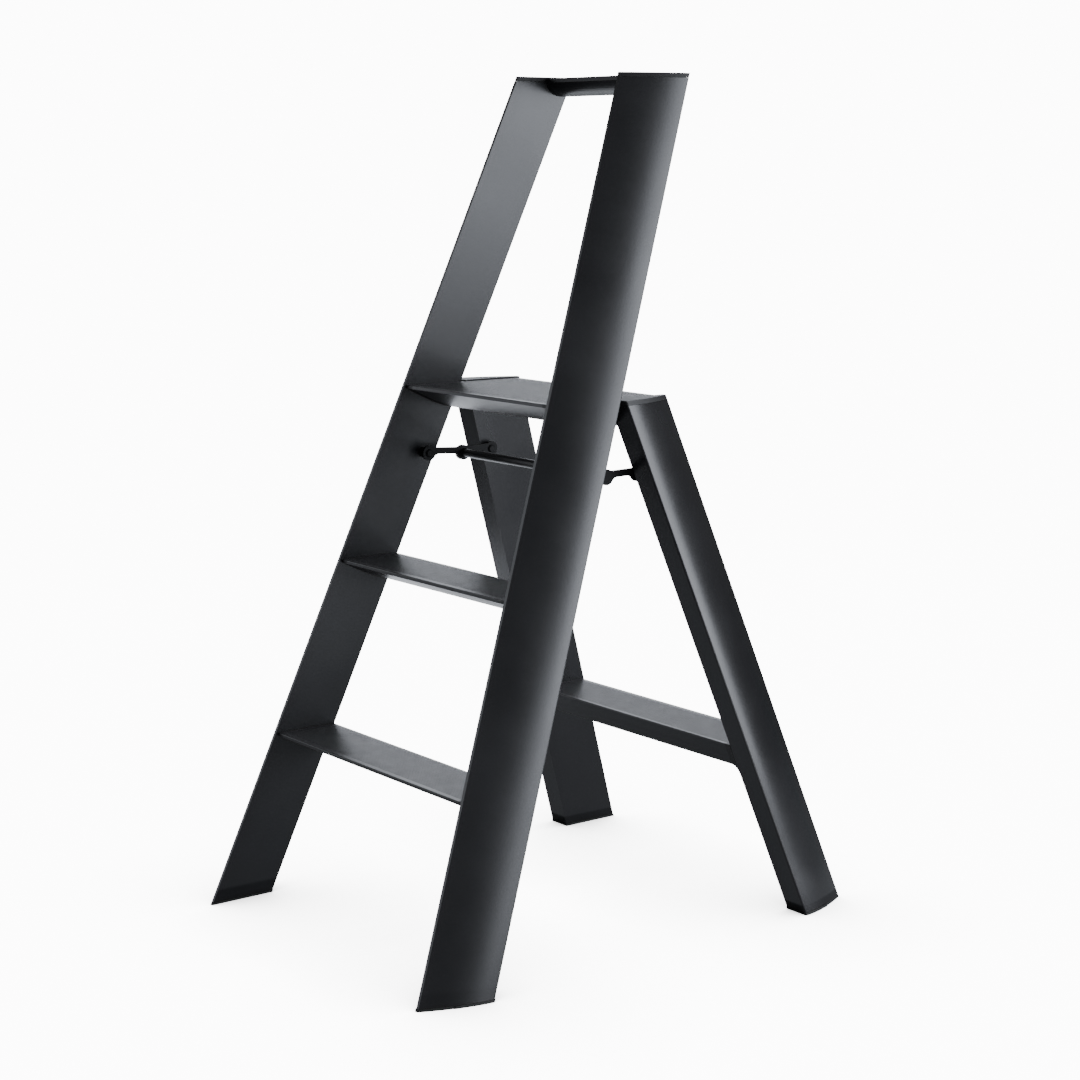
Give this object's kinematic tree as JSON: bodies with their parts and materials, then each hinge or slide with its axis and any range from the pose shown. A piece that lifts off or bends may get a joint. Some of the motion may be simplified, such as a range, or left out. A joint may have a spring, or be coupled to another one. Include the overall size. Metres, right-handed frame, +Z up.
{
  "type": "folding stepladder",
  "caption": "Folding stepladder standing open: leaning black aluminium rails with a handle bar on top, treads, a platform, and a rear frame held by a folding brace.",
  "frame": {"origin": "centre of the open ladder's footprint, on the floor", "axes": "+Z up, +Y towards the back legs (the person climbs from -Y), +X to the climber's right"},
  "size_m": [0.5716, 0.7252, 1.1418],
  "materials": {
    "black_aluminium": "satin black anodised",
    "black_moulding": "moulded glass-filled nylon with a fine grain",
    "black_plastic": "matte black",
    "black_rubber": "matte black",
    "grey_grip": "ribbed, fine blasted, dark anodised",
    "dark_steel": "black oxide"
  },
  "bodies": {
    "front_frame": {"front_rail_left": "black_aluminium", "front_rail_right": "black_aluminium", "rail_cap_left": "black_plastic", "rail_cap_right": "black_plastic", "front_foot_left": "black_rubber", "front_foot_right": "black_rubber", "handle_bar": "black_aluminium", "handle_plug_left": "black_plastic", "handle_plug_right": "black_plastic", "tread_lower": "black_aluminium", "tread_lower_pad": "grey_grip", "tread_lower_end_left": "black_moulding", "tread_lower_end_right": "black_moulding", "tread_middle": "black_aluminium", "tread_middle_pad": "grey_grip", "tread_middle_end_left": "black_moulding", "tread_middle_end_right": "black_moulding", "platform": "black_aluminium", "platform_pad": "grey_grip", "platform_end_left": "black_moulding", "platform_end_right": "black_moulding", "hinge_pin_left": "dark_steel", "hinge_pin_right": "dark_steel", "brace_front_boss_left": "black_moulding", "brace_front_boss_right": "black_moulding", "brace_front_pin_left": "dark_steel", "brace_front_pin_right": "dark_steel"},
    "rear_frame": {"rear_leg_left": "black_aluminium", "rear_leg_right": "black_aluminium", "leg_head_left": "black_moulding", "leg_head_right": "black_moulding", "rear_foot_left": "black_rubber", "rear_foot_right": "black_rubber", "cross_member": "black_aluminium", "cross_member_pad": "grey_grip", "cross_member_end_left": "black_moulding", "cross_member_end_right": "black_moulding", "brace_rear_boss_left": "black_moulding", "brace_rear_boss_right": "black_moulding", "brace_rear_pin_left": "dark_steel", "brace_rear_pin_right": "dark_steel"},
    "front_brace": {"brace_front_left": "black_aluminium", "brace_front_right": "black_aluminium", "release_bar": "black_aluminium", "bar_pin_left": "dark_steel", "bar_pin_right": "dark_steel"},
    "rear_link_left": {"brace_rear_left": "black_aluminium"},
    "rear_link_right": {"brace_rear_right": "black_aluminium"}
  },
  "joints": [
    {"name": "rear_fold", "type": "hinge", "parent": "front_frame", "child": "rear_frame", "pos_m": [0, 0.0333, 0.708], "axis": [-1, 0, 0], "range_deg": [0, 40]},
    {"name": "front_brace_swing", "type": "hinge", "parent": "front_frame", "child": "front_brace", "pos_m": [0, -0.0528, 0.6228], "axis": [1, 0, 0], "range_deg": [0, 60.93]},
    {"name": "rear_link_left_swing", "type": "hinge", "parent": "rear_frame", "child": "rear_link_left", "pos_m": [0, 0.0582, 0.6204], "axis": [-1, 0, 0], "range_deg": [0, 32.36]},
    {"name": "rear_link_right_swing", "type": "hinge", "parent": "rear_frame", "child": "rear_link_right", "pos_m": [0, 0.0582, 0.6204], "axis": [-1, 0, 0], "range_deg": [0, 32.36]}
  ],
  "couplings": [
    {"joint": "front_brace_swing", "follows": "rear_fold", "ratio": 1.5232},
    {"joint": "rear_link_left_swing", "follows": "rear_fold", "ratio": 0.80895},
    {"joint": "rear_link_right_swing", "follows": "rear_fold", "ratio": 0.80895}
  ]
}
